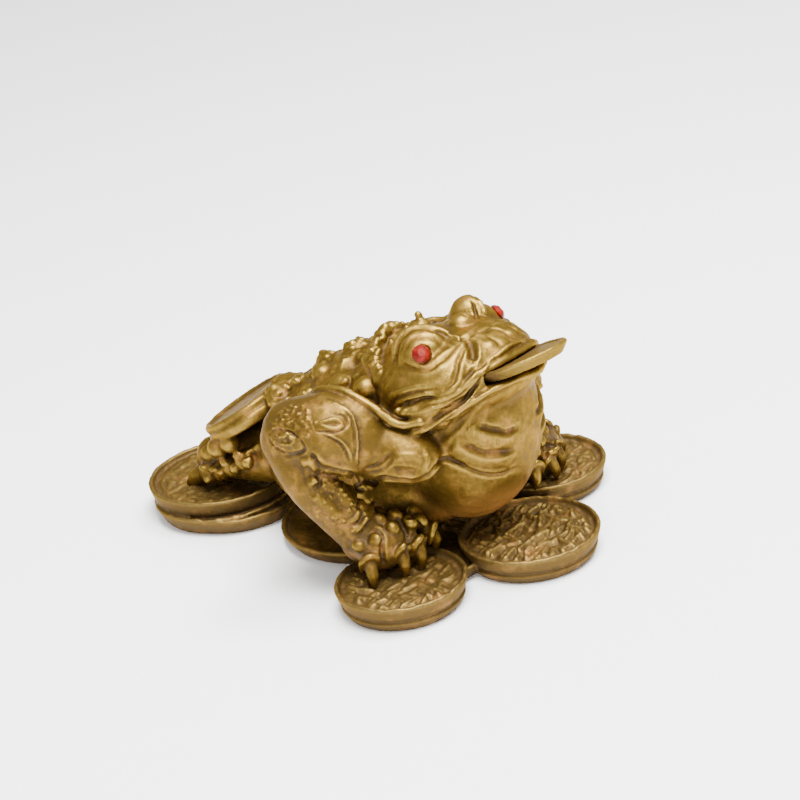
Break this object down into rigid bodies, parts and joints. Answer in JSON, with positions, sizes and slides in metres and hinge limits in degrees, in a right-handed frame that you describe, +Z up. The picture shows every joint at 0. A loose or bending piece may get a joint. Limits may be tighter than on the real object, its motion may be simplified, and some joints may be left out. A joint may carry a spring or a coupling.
{
  "type": "money toad figure",
  "caption": "Cast money toad ornament crouching on a bed of coins, with a loose coin in its mouth and red stone eyes.",
  "frame": {"origin": "centre of the underside, on the surface that the coins stand on", "axes": "+Z up, the toad faces -Y, its left side is +X"},
  "size_m": [0.0842, 0.1125, 0.0546],
  "materials": {
    "antique_gold": "metallic antique-gold paint over cast polyresin, dark brown in the recesses, worn bright on the high spots",
    "red_stone": "clear red, faceted, foil-backed"
  },
  "bodies": {
    "root": {"toad_on_coins": "antique_gold", "mouth_coin": "antique_gold", "eye_gem_right": "red_stone", "eye_gem_left": "red_stone"}
  },
  "joints": []
}
